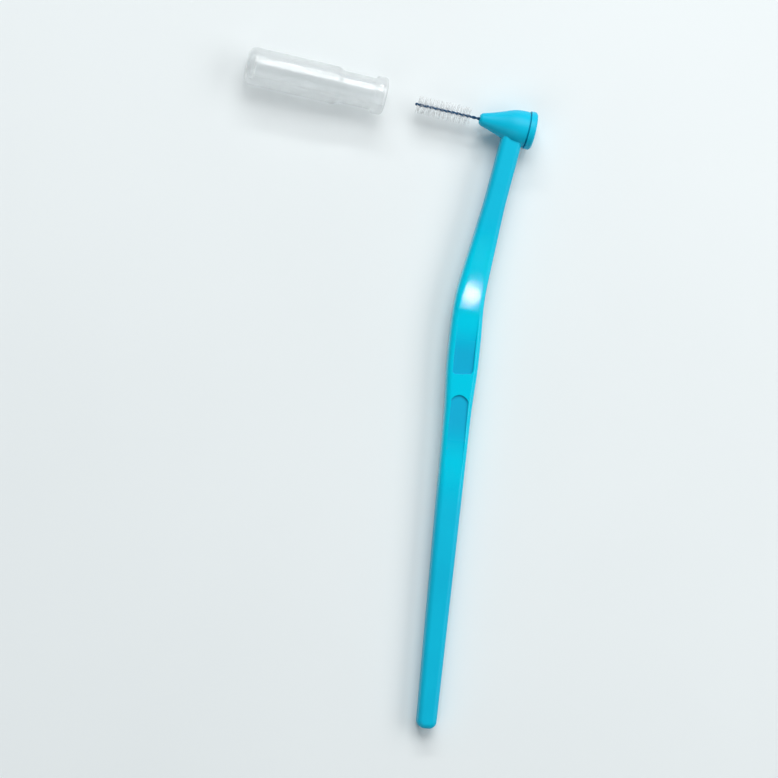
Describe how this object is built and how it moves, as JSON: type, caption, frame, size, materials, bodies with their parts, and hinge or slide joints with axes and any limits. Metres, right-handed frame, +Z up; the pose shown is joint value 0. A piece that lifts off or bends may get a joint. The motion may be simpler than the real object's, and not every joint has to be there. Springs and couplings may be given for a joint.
{
  "type": "interdental brush",
  "caption": "Angled interdental brush: slim bent handle, conical head holding a twisted-wire filament brush, and a clear push-on cap that slides over the brush and nose.",
  "frame": {"origin": "centre of the box that holds the brush and its pulled-off cap, on the surface they lie on", "axes": "+X along the wire from the cap towards the head, +Y up the handle from its tail to its head, +Z up"},
  "size_m": [0.0532, 0.1011, 0.0062],
  "materials": {
    "handle_plastic": "moulded polypropylene, satin",
    "coated_wire": "plastic-coated steel wire, dark blue",
    "nylon_filament": "fine clear nylon",
    "clear_plastic": "clear moulded plastic, polished"
  },
  "bodies": {
    "brush": {"handle": "handle_plastic", "head_plug": "handle_plastic", "wire_strand_a": "coated_wire", "wire_strand_b": "coated_wire", "filaments": "nylon_filament"},
    "cap": {"protective_cap": "clear_plastic"}
  },
  "joints": [
    {"name": "cap_slide", "type": "slide", "parent": "brush", "child": "cap", "axis": [1, 0, 0], "range_m": [0, 0.0195]}
  ]
}
